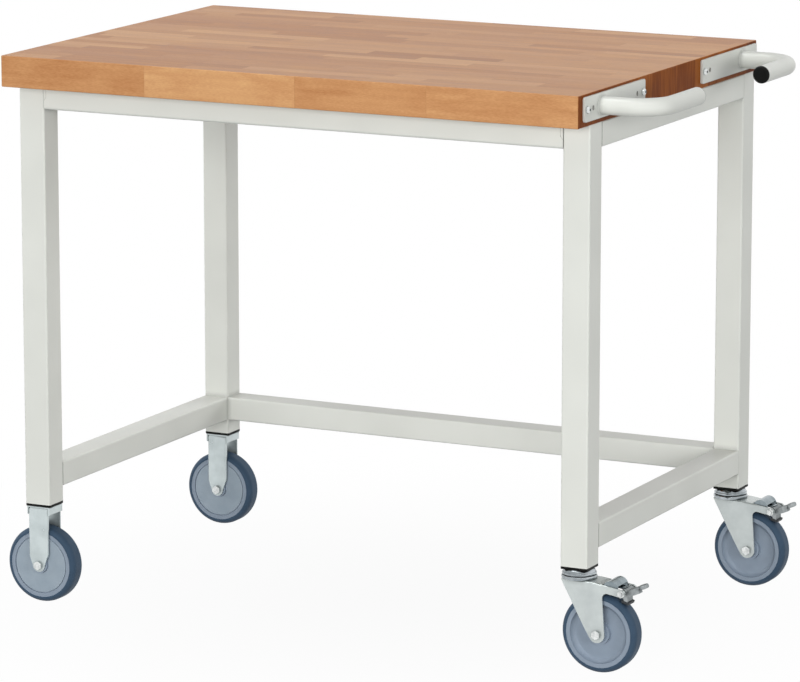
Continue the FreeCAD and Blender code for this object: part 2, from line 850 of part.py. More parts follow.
# Pressed fork of a swivel caster, of one sheet: crown, cheeks and the two arms of the brake.
def swivel_fork():
    outside = fork_plan(0.0).common(fork_roof(0.0, roof_end_height))
    crown = [edge for edge in outside.Edges if is_crown_edge(edge)]
    outside = outside.makeFillet(fork_crown_radius, crown)
    inside = fork_plan(fork_sheet).common(fork_roof(fork_sheet, caster_height))
    fork = outside.cut(inside).common(fork_cheek())
    pin_bore = rod(king_pin_diameter / 2 + running_play, fork_headroom, Vector(0, 0, wheel_diameter), Z_AXIS)
    axle_start = Vector(trail, -fork_outer, wheel_radius)
    axle_bore = rod(axle_diameter / 2 + seat_play, 2 * fork_outer, axle_start, Y_AXIS)
    brake_start = Vector(brake_pivot[0], -fork_outer, brake_pivot[1])
    brake_bore = rod(brake_pin_diameter / 2 + seat_play, 2 * fork_outer, brake_start, Y_AXIS)
    return fork.cut([pin_bore, axle_bore, brake_bore]).removeSplitter()


def is_crown_edge(edge):
    box = edge.BoundBox
    level = box.ZMin > roof_end_height - tolerance
    across = box.XLength < tolerance and box.YLength > fork_inner
    return level and not across


# Half barrel over the brake, closed at both ends.
def brake_hood():
    front = brake_hood_front_angle
    rear = brake_hood_rear_angle
    inner = brake_hood_radius - brake_hood_sheet
    barrel = [
        polar(hood_centre, brake_hood_radius, front),
        arc_to(hood_centre, brake_hood_radius, front, rear),
        polar(hood_centre, inner, rear),
        arc_to(hood_centre, inner, rear, front),
    ]
    hood = moved(face_of(barrel, on_xz).extrude(Vector(0, 2 * fork_inner, 0)), y=-fork_inner)
    end = [
        polar(hood_centre, brake_hood_radius, brake_hood_end_front),
        arc_to(hood_centre, brake_hood_radius, brake_hood_end_front, brake_hood_end_rear),
    ]
    plate = face_of(end, on_xz).extrude(Vector(0, brake_hood_sheet, 0))
    ends = [moved(plate, y=-fork_inner), moved(plate, y=fork_inner - brake_hood_sheet)]
    return hood.fuse(ends).removeSplitter()


# Cross bolt at the ends of the arms, with its head behind and its nut in front.
def brake_pin():
    x, z = brake_pivot
    radius = brake_pin_diameter / 2
    shank_length = 2 * fork_outer + brake_pin_head_height + axle_thread_end
    shank = rod(radius, shank_length, Vector(x, fork_outer, z), -Y_AXIS)
    head = hexagon(brake_pin_head, brake_pin_head_height, Vector(x, fork_outer, z), Y_AXIS)
    nut = hexagon(brake_pin_head, brake_pin_head_height, Vector(x, -fork_outer, z), -Y_AXIS)
    nut = nut.cut(rod(radius, 2 * brake_pin_head_height, Vector(x, -fork_outer, z), -Y_AXIS))
    return [head.fuse(shank).removeSplitter(), nut]


def turned(shape, degrees):
    copy = shape.copy()
    copy.rotate(Vector(brake_pivot[0], 0, brake_pivot[1]), Y_AXIS, degrees)
    return copy


# Angles of the shoe about the axle when the pedal is down, and its inner radius there.
def shoe_angles():
    middle = brake_pivot_angle - math.degrees(shoe_lag / wheel_radius)
    half = math.degrees(shoe_half_span / wheel_radius)
    return middle - half, middle, middle + half


def brake_shoe():
    low, middle, high = shoe_angles()
    inner = wheel_radius + shoe_gap
    outer = inner + shoe_depth
    path = [
        polar(axle_point, inner, low),
        arc_to(axle_point, inner, low, high),
        polar(axle_point, outer, high),
        arc_to(axle_point, outer, high, low),
    ]
    shoe = face_of(path, on_xz).extrude(Vector(0, shoe_width, 0))
    return turned(moved(shoe, y=-shoe_width / 2), -brake_travel)


# Web that carries the shoe, from the hub of the pedal to the back of the shoe.
def shoe_carrier():
    middle = shoe_angles()[1]
    back = wheel_radius + shoe_gap + shoe_depth
    half = math.degrees(shoe_web / back)
    root = brake_hub_diameter / 2 - shoe_web_sink
    toward = brake_pivot_angle + 180 + shoe_web_lean
    path = [
        polar(axle_point, back, middle + half),
        polar(brake_pivot, root, toward - shoe_web_spread),
        polar(brake_pivot, root, toward + shoe_web_spread),
        polar(axle_point, back, middle - half),
        arc_to(axle_point, back, middle - half, middle + half),
    ]
    web = face_of(path, on_xz).extrude(Vector(0, shoe_width, 0))
    return turned(moved(web, y=-shoe_width / 2), -brake_travel)


# Thick oval tip of the pedal with rounded rims.
def pedal_tip():
    half_length = (pedal_length - pedal_neck_at) / 2
    oval = Part.Ellipse(ORIGIN, pedal_tip_width / 2, half_length).toShape()
    tip = Part.Face(Part.Wire(oval)).extrude(Vector(0, 0, pedal_tip_thickness))
    rims = [edge for edge in tip.Edges if edge.BoundBox.ZLength < tolerance]
    tip = tip.makeFillet(pedal_tip_round, rims)
    tip.rotate(ORIGIN, Z_AXIS, 90)
    return moved(tip, x=pedal_length - half_length, z=-pedal_tip_thickness / 2)


# Root and neck of the pedal in plan, drawn in from its sides and front by the given amount.
def pedal_root(inset):
    root = pedal_root_width / 2 - inset
    neck = pedal_neck / 2 - inset
    front = pedal_neck_at - inset
    return [
        (0, root),
        (0, -root),
        (pedal_root_length - inset, -root),
        (front, -neck),
        (front, neck),
        (pedal_root_length - inset, root),
    ]


# Pressed foot plate of the pedal: a broad root with a skirt, a neck and the tip.
def pedal_plate():
    plate = moved(face_of(pedal_root(0.0), on_xy).extrude(Vector(0, 0, pedal_sheet)), z=-pedal_sheet / 2)
    neck_length = (pedal_length - pedal_neck_at) / 2
    neck_start = Vector(pedal_neck_at, -pedal_neck / 2, -pedal_sheet / 2)
    neck = Part.makeBox(neck_length, pedal_neck, pedal_sheet, neck_start)
    drop = Vector(0, 0, -pedal_skirt)
    skirt = face_of(pedal_root(0.0), on_xy).extrude(drop)
    skirt = skirt.cut(face_of(pedal_root(pedal_skirt_sheet), on_xy).extrude(drop))
    plate = plate.fuse([neck, pedal_tip(), skirt]).removeSplitter()
    plate.rotate(ORIGIN, Y_AXIS, -pedal_slope)
    return moved(plate, x=brake_pivot[0], z=brake_pivot[1])


def brake_pedal():
    x, z = brake_pivot
    start = Vector(x, -brake_hub_width / 2, z)
    hub = rod(brake_hub_diameter / 2, brake_hub_width, start, Y_AXIS)
    pedal = hub.fuse([pedal_plate(), shoe_carrier()])
    bore = rod(brake_pin_diameter / 2 + running_play, brake_hub_width, start, Y_AXIS)
    return pedal.cut(bore).removeSplitter()


# Leaf spring under the fork's roof; its free end lies over the hub of the pedal.
def brake_spring():
    bend = roof_end - spring_foot
    fall = (crown_top - roof_end_height) / (roof_end - race_diameter / 2)
    under_bend = crown_top - fork_sheet - fall * (bend - race_diameter / 2)
    under_end = roof_end_height - fork_sheet
    hub_top = brake_pivot[1] + brake_hub_diameter / 2 + spring_play + spring_sheet
    path = [
        (bend, under_bend),
        (roof_end, under_end),
        (brake_pivot[0], hub_top),
        (brake_pivot[0], hub_top - spring_sheet),
        (roof_end, under_end - spring_sheet),
        (bend, under_bend - spring_sheet),
    ]
    spring = face_of(path, on_xz).extrude(Vector(0, spring_width, 0))
    return moved(spring, y=-spring_width / 2)


def wheel_set(prefix, x, y, with_covers):
    nodes = {
        prefix + "_tyre": tyre(),
        prefix + "_wheel_core": wheel_core(with_covers),
        prefix + "_bearings": Part.makeCompound(wheel_bearings()),
    }
    if with_covers:
        nodes[prefix + "_wheel_covers"] = Part.makeCompound(wheel_covers())
    return {name: moved(shape, x, y, wheel_radius) for name, shape in nodes.items()}


def swivel_caster(prefix, x, y):
    nodes = {
        prefix + "_head": swivel_head(),
        prefix + "_race": swivel_race(),
        prefix + "_seal": swivel_seal(),
        prefix + "_fork": swivel_fork(),
        prefix + "_axle": Part.makeCompound([moved(piece, trail, 0, wheel_radius) for piece in axle()]),
        prefix + "_brake_hood": brake_hood(),
        prefix + "_brake_spring": brake_spring(),
        prefix + "_brake_pin": Part.makeCompound(brake_pin()),
        prefix + "_brake_pedal": brake_pedal(),
        prefix + "_brake_shoe": brake_shoe(),
    }
    placed = {name: moved(shape, x, y) for name, shape in nodes.items()}
    placed.update(wheel_set(prefix, x + trail, y, False))
    return placed


def fixed_caster(prefix, x, y):
    nodes = {prefix + "_fork": moved(fixed_fork(), x, y)}
    nodes.update(wheel_set(prefix, x, y, True))
    return nodes


def handle_nodes():
    height = working_height - handle_plate_drop - handle_plate_height / 2
    front = worktop_y - worktop_depth / 2 + handle_front_margin
    rear = worktop_y + worktop_depth / 2 - handle_rear_margin
    pieces = {"plate": handle_plate(), "tube": handle_tube()}
    nodes = {}
    for name, shape in pieces.items():
        nodes["front_handle_" + name] = moved(shape, end_face_x, front, height)
        nodes["rear_handle_" + name] = moved(shape.mirror(ORIGIN, Y_AXIS), end_face_x, rear, height)
    for name, shapes in {"handle_plugs": [handle_plug()], "handle_screws": handle_screws()}.items():
        group = [moved(shape, end_face_x, front, height) for shape in shapes]
        group += [moved(shape.mirror(ORIGIN, Y_AXIS), end_face_x, rear, height) for shape in shapes]
        nodes[name] = Part.makeCompound(group)
    return nodes


# Long rails, their brackets and screws; the rear set is the front set turned to face the back.
def long_rail_nodes():
    front = front_y - tube_width / 2
    rear = rear_y + tube_width / 2
    half = leg_half_x - tube_width / 2

    def at_front(shape):
        return moved(shape, worktop_x, front)

    def at_rear(shape):
        return moved(shape.mirror(ORIGIN, Y_AXIS), worktop_x, rear)

    brackets = [moved(rail_bracket(), x=-half), moved(rail_bracket().mirror(ORIGIN, X_AXIS), x=half)]
    groups = {
        "rail_brackets": brackets,
        "rail_screws": rail_screws(),
        "worktop_screws": worktop_screws(),
    }
    nodes = {"front_upper_rail": at_front(long_rail()), "rear_upper_rail": at_rear(long_rail())}
    for name, shapes in groups.items():
        both = [at_front(shape) for shape in shapes] + [at_rear(shape) for shape in shapes]
        nodes[name] = Part.makeCompound(both)
    return nodes


def frame_nodes():
    nodes = {}
    for side_name, x, inward in (("left", left_x, 1), ("right", right_x, -1)):
        for end_name, y, to_middle in (("front", front_y, 1), ("rear", rear_y, -1)):
            to_back = to_middle * (rail_screw_depth() - tube_width / 2)
            post = leg().cut(leg_holes(inward, to_back))
            nodes[end_name + "_" + side_name + "_leg"] = moved(post, x, y, leg_foot)
        rail_start = front_y + tube_width / 2
        for level, foot in (("upper", upper_rail_foot), ("lower", lower_rail_foot)):
            rail = moved(side_rail(), x, rail_start, foot + rail_height / 2)
            nodes[side_name + "_" + level + "_rail"] = rail
    rear_rail = moved(lower_rear_rail(), left_x + tube_width / 2, rear_y, lower_rail_foot + rail_height / 2)
    nodes["rear_lower_rail"] = rear_rail
    places = [(x, y) for x in (left_x, right_x) for y in (front_y, rear_y)]
    nodes["leg_plugs"] = Part.makeCompound([moved(leg_plug(), x, y, caster_height) for x, y in places])
    return nodes


def drilled_worktop(screw_groups):
    board = moved(worktop(), worktop_x, worktop_y)
    for group in screw_groups:
        board = board.cut(group.Solids)
    return board


def all_nodes():
    nodes = frame_nodes()
    nodes.update(long_rail_nodes())
    nodes.update(handle_nodes())
    nodes["worktop"] = drilled_worktop([nodes["worktop_screws"], nodes["handle_screws"]])
    nodes.update(fixed_caster("front_fixed", left_x, front_y))
    nodes.update(fixed_caster("rear_fixed", left_x, rear_y))
    nodes.update(swivel_caster("front_swivel", right_x, front_y))
    nodes.update(swivel_caster("rear_swivel", right_x, rear_y))
    fixed_places = [front_y, rear_y]
    nodes["fixed_stems"] = Part.makeCompound([moved(fixed_stem(), left_x, y) for y in fixed_places])
    pieces = [moved(piece, left_x, y, wheel_radius) for y in fixed_places for piece in axle()]
    nodes["fixed_axles"] = Part.makeCompound(pieces)
    return nodes


os.makedirs("parts", exist_ok=True)
for name, shape in all_nodes().items():
    shape.exportStep("parts/" + name + ".step")
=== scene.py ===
import json
import math

import bmesh
import bpy
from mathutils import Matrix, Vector


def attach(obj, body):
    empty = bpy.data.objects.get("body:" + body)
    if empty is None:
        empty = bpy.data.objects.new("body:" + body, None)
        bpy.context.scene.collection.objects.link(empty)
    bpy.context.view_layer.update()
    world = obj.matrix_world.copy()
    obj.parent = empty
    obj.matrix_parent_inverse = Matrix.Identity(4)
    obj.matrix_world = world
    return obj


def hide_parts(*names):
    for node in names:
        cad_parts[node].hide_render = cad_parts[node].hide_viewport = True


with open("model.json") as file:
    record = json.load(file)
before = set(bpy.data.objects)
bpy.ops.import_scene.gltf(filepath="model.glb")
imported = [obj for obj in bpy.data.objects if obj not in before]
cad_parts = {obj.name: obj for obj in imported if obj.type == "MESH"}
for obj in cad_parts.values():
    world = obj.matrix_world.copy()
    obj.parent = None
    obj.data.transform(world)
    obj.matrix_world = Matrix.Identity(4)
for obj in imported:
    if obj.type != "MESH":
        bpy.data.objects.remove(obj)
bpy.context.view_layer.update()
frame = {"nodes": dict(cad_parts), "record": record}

mm = 0.001
print("frame loaded,", len(frame["nodes"]), "nodes")


def hexToLinear(code):
    channels = [int(code[start:start + 2], 16) / 255 for start in (1, 3, 5)]
    linear = [c / 12.92 if c <= 0.04045 else ((c + 0.055) / 1.055) ** 2.4 for c in channels]
    return linear + [1.0]


def addNode(tree, kind, settings=None, inputs=None):
    node = tree.nodes.new(kind)
    for name, value in (settings or {}).items():
        setattr(node, name, value)
    for name, value in (inputs or {}).items():
        if isinstance(value, bpy.types.NodeSocket):
            tree.links.new(value, node.inputs[name])
        else:
            node.inputs[name].default_value = value
    return node


def newMaterial(name):
    material = bpy.data.materials.new(name)
    material.use_nodes = True
    return material, material.node_tree, material.node_tree.nodes["Principled BSDF"]


def setStops(ramp, stops):
    elements = ramp.color_ramp.elements
    while len(elements) < len(stops):
        elements.new(1.0)
    for element, (place, code) in zip(elements, stops):
        element.position = place
        element.color = hexToLinear(code)


# How far the painted shade in recesses reaches, how dark it gets, and its samples
recessShadePaint = {"reach": 9.0, "depth": 0.62, "samples": 8}


# Painted shade: crevices and holes get their base colour darkened by ambient occlusion, standing in for the
# light they miss
# (a colour mix has its colours in sockets 6 and 7, and the result in output 2)
def paintedRecessShade(tree, colour):
    hollowShade = addNode(tree, "ShaderNodeAmbientOcclusion", {"samples": recessShadePaint["samples"]},
                     {"Color": colour, "Distance": recessShadePaint["reach"] * mm})
    return addNode(tree, "ShaderNodeMix", {"data_type": "RGBA"},
                   {0: recessShadePaint["depth"], 6: colour, 7: hollowShade.outputs["Color"]}).outputs[2]


# Oiled beech block board: staves of differing tone, each with its own growth rings, clouds and flecks
beech = {
    "staveWidth": 31.0, "staveLength": 260.0, "rowVariety": 0.55, "staveVariety": 1.0, "shuffle": 53.0,
    "ringWidth": 12.0, "ringSpread": 60.0, "ringStretch": 0.16, "ringWander": 9.0,
    "ringDetail": 2.0, "ringDetailScale": 0.06,
    "grains": {
        # size along, across and through the board, then how the noise is broken up
        "cloud": ((80.0, 24.0, 24.0), {"Detail": 2.5, "Roughness": 0.42, "Distortion": 0.8}),
        "fleck": ((6.0, 1.6, 1.6), {"Detail": 1.0}),  # drawn coarser than real flecks, to show
        "streak": ((math.inf, 4.0, 45.0), {"Detail": 3.0, "Distortion": 0.3}),
    },
    "faces": {
        "long": {
            "middle": 0.5, "shares": {"stave": 0.5, "ring": 0.05, "cloud": 0.5, "fleck": 0.34},
            "stops": ((0.0, "#8F5B37"), (0.35, "#B27A4D"), (0.65, "#C79364"), (1.0, "#DDAF7C")),
        },
        "end": {
            "middle": 0.575, "shares": {"streak": 0.55, "stave": 0.6},
            "stops": ((0.15, "#4C1E08"), (0.6, "#7C3F14"), (0.95, "#A9642A")),
        },
    },
    "endTurn": (0.6, 0.85), "glueLine": 0.5, "glueShare": 0.2, "glueTone": "#5A3420",
    "roughness": 0.43, "sheenVariety": 0.14, "specular": 0.25, "endSpecular": 0.04,
    "relief": 0.12, "reliefDepth": 0.1,
}
waveRadians = 20  # the wave texture turns by this much in one unit, at scale 1


def oiledBeech():
    material, tree, shader = newMaterial("oiledBeech")
    place = addNode(tree, "ShaderNodeTexCoord")
    inMm = addNode(tree, "ShaderNodeVectorMath", {"operation": "SCALE"},
                   {0: place.outputs["Object"], "Scale": 1 / mm})
    xyz = addNode(tree, "ShaderNodeSeparateXYZ", None, {0: inMm.outputs[0]})

    # rows of staves, and staves along each row
    across = addNode(tree, "ShaderNodeMath", {"operation": "DIVIDE"},
                     {0: xyz.outputs["Y"], 1: beech["staveWidth"]})
    rowCells = {"W": across.outputs[0], "Scale": 1.0, "Randomness": beech["rowVariety"]}
    row = addNode(tree, "ShaderNodeTexVoronoi", {"voronoi_dimensions": "1D"}, rowCells)
    rowEdge = addNode(tree, "ShaderNodeTexVoronoi",
                      {"voronoi_dimensions": "1D", "feature": "DISTANCE_TO_EDGE"}, rowCells)
    rowDice = addNode(tree, "ShaderNodeSeparateColor", None, {0: row.outputs["Color"]})
    along = addNode(tree, "ShaderNodeMath", {"operation": "DIVIDE"},
                    {0: xyz.outputs["X"], 1: beech["staveLength"]})
    shifted = addNode(tree, "ShaderNodeMath", {"operation": "MULTIPLY_ADD"},
                      {0: rowDice.outputs[0], 1: beech["shuffle"], 2: along.outputs[0]})
    staveCells = {"W": shifted.outputs[0], "Scale": 1.0, "Randomness": beech["staveVariety"]}
    stave = addNode(tree, "ShaderNodeTexVoronoi", {"voronoi_dimensions": "1D"}, staveCells)
    staveEdge = addNode(tree, "ShaderNodeTexVoronoi",
                        {"voronoi_dimensions": "1D", "feature": "DISTANCE_TO_EDGE"}, staveCells)
    dice = addNode(tree, "ShaderNodeSeparateColor", None, {0: stave.outputs["Color"]})

    # growth rings about a heart that lies elsewhere for every stave, stretched along the board
    spread = beech["ringSpread"]
    heart = addNode(tree, "ShaderNodeVectorMath", {"operation": "MULTIPLY_ADD"},
                    {0: stave.outputs["Color"], 1: (beech["staveLength"], spread, spread),
                     2: (0.0, -spread / 2, -spread / 2)})
    own = addNode(tree, "ShaderNodeVectorMath", {"operation": "ADD"},
                  {0: inMm.outputs[0], 1: heart.outputs[0]})
    ringPlace = addNode(tree, "ShaderNodeVectorMath", {"operation": "MULTIPLY"},
                        {0: own.outputs[0], 1: (beech["ringStretch"], 1.0, 1.0)})
    ring = addNode(tree, "ShaderNodeTexWave", {"wave_type": "RINGS", "rings_direction": "SPHERICAL"},
                   {"Vector": ringPlace.outputs[0], "Scale": math.tau / (waveRadians * beech["ringWidth"]),
                    "Distortion": beech["ringWander"], "Detail": beech["ringDetail"],
                    "Detail Scale": beech["ringDetailScale"]})

    # clouds and flecks for the long faces, upright streaks for the ends
    patterns = {"stave": dice.outputs[0], "ring": ring.outputs["Fac"]}
    for name, (size, breakUp) in beech["grains"].items():
        grainPlace = addNode(tree, "ShaderNodeVectorMath", {"operation": "MULTIPLY"},
                             {0: own.outputs[0], 1: [1 / length for length in size]})
        grain = addNode(tree, "ShaderNodeTexNoise", None,
                        {"Vector": grainPlace.outputs[0], "Scale": 1.0, **breakUp})
        patterns[name] = grain.outputs["Fac"]

    woods = {}
    for face, look in beech["faces"].items():
        tone = look["middle"] - sum(look["shares"].values()) / 2
        for name, share in look["shares"].items():
            mixed = addNode(tree, "ShaderNodeMath", {"operation": "MULTIPLY_ADD"},
                            {0: patterns[name], 1: share, 2: tone})
            tone = mixed.outputs[0]
        ramp = addNode(tree, "ShaderNodeValToRGB", None, {0: tone})
        setStops(ramp, look["stops"])
        woods[face] = ramp.outputs[0]

    # the board's two ends show the cut fibres, which drink more oil
    surface = addNode(tree, "ShaderNodeNewGeometry")
    facing = addNode(tree, "ShaderNodeSeparateXYZ", None, {0: surface.outputs["Normal"]})
    endFace = addNode(tree, "ShaderNodeMath", {"operation": "ABSOLUTE"}, {0: facing.outputs["X"]})
    isEnd = addNode(tree, "ShaderNodeMapRange", None,
                    {"Value": endFace.outputs[0], "From Min": beech["endTurn"][0],
                     "From Max": beech["endTurn"][1]})
    wood = addNode(tree, "ShaderNodeMix", {"data_type": "RGBA"},
                   {0: isEnd.outputs[0], 6: woods["long"], 7: woods["end"]})

    # glue lines between staves
    rowGap = addNode(tree, "ShaderNodeMath", {"operation": "MULTIPLY"},
                     {0: rowEdge.outputs["Distance"], 1: beech["staveWidth"]})
    staveGap = addNode(tree, "ShaderNodeMath", {"operation": "MULTIPLY"},
                       {0: staveEdge.outputs["Distance"], 1: beech["staveLength"]})
    gap = addNode(tree, "ShaderNodeMath", {"operation": "MINIMUM"},
                  {0: rowGap.outputs[0], 1: staveGap.outputs[0]})
    glue = addNode(tree, "ShaderNodeMapRange", None,
                   {"Value": gap.outputs[0], "From Min": 0.0, "From Max": beech["glueLine"],
                    "To Min": beech["glueShare"], "To Max": 0.0})
    lined = addNode(tree, "ShaderNodeMix", {"data_type": "RGBA"},
                    {0: glue.outputs[0], 6: wood.outputs[2], 7: hexToLinear(beech["glueTone"])})
    tree.links.new(lined.outputs[2], shader.inputs["Base Color"])

    sheen = addNode(tree, "ShaderNodeMath", {"operation": "MULTIPLY_ADD"},
                    {0: patterns["cloud"], 1: beech["sheenVariety"],
                     2: beech["roughness"] - beech["sheenVariety"] / 2})
    tree.links.new(sheen.outputs[0], shader.inputs["Roughness"])
    oily = addNode(tree, "ShaderNodeMapRange", None,
                   {"Value": isEnd.outputs[0], "To Min": beech["specular"], "To Max": beech["endSpecular"]})
    tree.links.new(oily.outputs[0], shader.inputs["Specular IOR Level"])
    relief = addNode(tree, "ShaderNodeBump", None,
                     {"Height": patterns["fleck"], "Strength": beech["relief"],
                      "Distance": beech["reliefDepth"] * mm})
    tree.links.new(relief.outputs[0], shader.inputs["Normal"])
    return material


# Fine satin powder coat: a faint orange peel, even colour, soft highlight on the bends
coat = {
    "tones": ((0.3, "#D8DAD4"), (0.7, "#DDDFD9")), "patchWidth": 90.0, "patchDetail": 1.0,
    "peelWidth": 1.6,  # coarser than real peel, to show
    "peelDetail": 2.0, "peelRelief": 0.08, "peelDepth": 0.2,
    "roughness": 0.46, "sheenVariety": 0.1, "specular": 0.3, "gloss": 0.3, "glossRoughness": 0.12,
}


def satinPowderCoat():
    material, tree, shader = newMaterial("satinPowderCoat")
    place = addNode(tree, "ShaderNodeTexCoord")
    peel = addNode(tree, "ShaderNodeTexNoise", None,
                   {"Vector": place.outputs["Object"], "Scale": 1 / (coat["peelWidth"] * mm),
                    "Detail": coat["peelDetail"]})
    patch = addNode(tree, "ShaderNodeTexNoise", None,
                    {"Vector": place.outputs["Object"], "Scale": 1 / (coat["patchWidth"] * mm),
                     "Detail": coat["patchDetail"]})
    paint = addNode(tree, "ShaderNodeValToRGB", None, {0: patch.outputs[0]})
    setStops(paint, coat["tones"])
    sheen = addNode(tree, "ShaderNodeMath", {"operation": "MULTIPLY_ADD"},
                    {0: peel.outputs[0], 1: coat["sheenVariety"],
                     2: coat["roughness"] - coat["sheenVariety"] / 2})
    relief = addNode(tree, "ShaderNodeBump", None,
                     {"Height": peel.outputs[0], "Strength": coat["peelRelief"],
                      "Distance": coat["peelDepth"] * mm})
    shader.inputs["Specular IOR Level"].default_value = coat["specular"]
    shader.inputs["Coat Weight"].default_value = coat["gloss"]
    shader.inputs["Coat Roughness"].default_value = coat["glossRoughness"]
    # painted shade darkens the paint in recesses
    tree.links.new(paintedRecessShade(tree, paint.outputs[0]), shader.inputs["Base Color"])
    tree.links.new(sheen.outputs[0], shader.inputs["Roughness"])
    tree.links.new(relief.outputs[0], shader.inputs["Normal"])
    return material


# Plated metals: tones and roughness run from the dark patches to the light ones
metals = {
    # Fixed forks: a lighter copy of the plated zinc, its lighter tone a painted highlight
    "zincStrapWithPaintedHighlight": {  # clean and light, with soft reflections
        "tones": ("#BCC6C7", "#CED8D9"), "patch": 30.0, "rough": (0.28, 0.2), "metal": 0.6, "edge": 1.0},
    "zincPlatedSteel": {  # slightly hazy, with a faint drift of tone
        "tones": ("#B9C0C0", "#CAD1D0"), "patch": 38.0, "rough": (0.28, 0.2), "metal": 0.6, "edge": 1.0},
    "brightNickelPlate": {  # nearly a mirror
        "tones": ("#8E9599", "#BFC5C9"), "patch": 20.0, "rough": (0.16, 0.1), "metal": 1.0, "edge": 1.0},
    # Screws: the light tone is lifted as a painted highlight on the heads
    "zincScrewWithPaintedHighlight": {  # small bright heads
        "tones": ("#C8CCCC", "#EDF0EF"), "patch": 6.0, "rough": (0.26, 0.16), "metal": 0.9, "edge": 1.0},
    "satinZincBrake": {  # darker, with a satin shine
        "tones": ("#7D898F", "#9AA5AA"), "patch": 16.0, "rough": (0.24, 0.18), "metal": 1.0, "edge": 1.0},
    "dullZincPedal": {  # worn dull, and darker than the others at a flat angle
        "tones": ("#969C9E", "#B4B9BA"), "patch": 12.0, "rough": (0.5, 0.42), "metal": 1.0, "edge": 0.4},
}
plating = {"detail": 3.0, "breakUp": 0.6, "toneSpan": (0.3, 0.65), "roughSpan": (0.3, 0.7)}


def platedMetal(name):
    look = metals[name]
    material, tree, shader = newMaterial(name)
    place = addNode(tree, "ShaderNodeTexCoord")
    patch = addNode(tree, "ShaderNodeTexNoise", None,
                    {"Vector": place.outputs["Object"], "Scale": 1 / (look["patch"] * mm),
                     "Detail": plating["detail"], "Roughness": plating["breakUp"]})
    plate = addNode(tree, "ShaderNodeValToRGB", None, {0: patch.outputs[0]})
    setStops(plate, list(zip(plating["toneSpan"], look["tones"])))
    gloss = addNode(tree, "ShaderNodeMapRange", None,
                    {"Value": patch.outputs[0],
                     "From Min": plating["roughSpan"][0], "From Max": plating["roughSpan"][1],
                     "To Min": look["rough"][0], "To Max": look["rough"][1]})
    # painted shade darkens the plating in recesses
    tree.links.new(paintedRecessShade(tree, plate.outputs[0]), shader.inputs["Base Color"])
    tree.links.new(gloss.outputs[0], shader.inputs["Roughness"])
    shader.inputs["Metallic"].default_value = look["metal"]
    shader.inputs["Specular Tint"].default_value = [look["edge"]] * 3 + [1.0]
    return material


# Moulded polymers: a fine grain, drawn coarser than the real one to show, and a tone that drifts slowly
polymers = {
    "elastomerTread": {  # soft and dull, dark blue-grey
        "tones": ("#304356", "#384C60"), "grain": 2.5, "roughness": 0.58, "relief": 0.1, "specular": 0.38},
    "polypropyleneCentre": {  # smooth, with a soft shine
        "tones": ("#828F9E", "#8996A5"), "grain": 1.8, "roughness": 0.32, "relief": 0.04, "specular": 0.5},
    "polypropyleneCover": {  # lighter and duller than the centre
        "tones": ("#8F9DA9", "#98A5B0"), "grain": 1.8, "roughness": 0.46, "relief": 0.08, "specular": 0.5},
    "blackPolyethylene": {  # nearly black, with hardly a highlight
        "tones": ("#0B0C0B", "#121312"), "grain": 1.2, "roughness": 0.5, "relief": 0.1, "specular": 0.12},
    "brakeLining": {  # dark, grainy and matt
        "tones": ("#232527", "#34373A"), "grain": 1.0, "roughness": 0.6, "relief": 0.2, "specular": 0.5},
}
moulding = {
    "detail": 2.0, "driftGrains": 12, "toneSpan": (0.3, 0.7), "sheenVariety": 0.14, "reliefDepth": 0.15,
}


def mouldedPolymer(name):
    look = polymers[name]
    material, tree, shader = newMaterial(name)
    place = addNode(tree, "ShaderNodeTexCoord")
    grain = addNode(tree, "ShaderNodeTexNoise", None,
                    {"Vector": place.outputs["Object"], "Scale": 1 / (look["grain"] * mm),
                     "Detail": moulding["detail"]})
    drift = addNode(tree, "ShaderNodeTexNoise", None,
                    {"Vector": place.outputs["Object"], "Detail": moulding["detail"],
                     "Scale": 1 / (moulding["driftGrains"] * look["grain"] * mm)})
    tint = addNode(tree, "ShaderNodeValToRGB", None, {0: drift.outputs[0]})
    setStops(tint, list(zip(moulding["toneSpan"], look["tones"])))
    gloss = addNode(tree, "ShaderNodeMath", {"operation": "MULTIPLY_ADD"},
                    {0: grain.outputs[0], 1: moulding["sheenVariety"],
                     2: look["roughness"] - moulding["sheenVariety"] / 2})
    relief = addNode(tree, "ShaderNodeBump", None,
                     {"Height": grain.outputs[0], "Strength": look["relief"],
                      "Distance": moulding["reliefDepth"] * mm})
    shader.inputs["Specular IOR Level"].default_value = look["specular"]
    tree.links.new(tint.outputs[0], shader.inputs["Base Color"])
    tree.links.new(gloss.outputs[0], shader.inputs["Roughness"])
    tree.links.new(relief.outputs[0], shader.inputs["Normal"])
    return material


slotLooks = {
    "beech": oiledBeech(),
    "powder_coat": satinPowderCoat(),
    "zinc_screws": platedMetal("zincScrewWithPaintedHighlight"),
    "zinc_steel": platedMetal("zincPlatedSteel"),
    "bright_steel": platedMetal("brightNickelPlate"),
    "black_plastic": mouldedPolymer("blackPolyethylene"),
    "tread": mouldedPolymer("elastomerTread"),
    "wheel_plastic": mouldedPolymer("polypropyleneCentre"),
    "cover_plastic": mouldedPolymer("polypropyleneCover"),
    "brake_steel": platedMetal("satinZincBrake"),
    "brake_lining": mouldedPolymer("brakeLining"),
}
# pieces finished otherwise than the rest of their slot; the fixed forks' lighter zinc is a painted
# highlight
pieceLooks = {"brake_pedal": platedMetal("dullZincPedal"), "fixed_fork": platedMetal("zincStrapWithPaintedHighlight")}
nodeSlots = {part["node"]: part["material_slot"] for part in frame["record"]["subparts"]}
bodyNodes = frame["record"]["behaviour"]["bodies"]
nodeBodies = {nodeName: body for body, nodeNames in bodyNodes.items() for nodeName in nodeNames}
for nodeName, node in frame["nodes"].items():
    ownLooks = [look for ending, look in pieceLooks.items() if nodeName.endswith(ending)]
    node.data.materials.clear()
    node.data.materials.append(ownLooks[0] if ownLooks else slotLooks[nodeSlots[nodeName]])
print("materials set on", len(frame["nodes"]), "nodes")


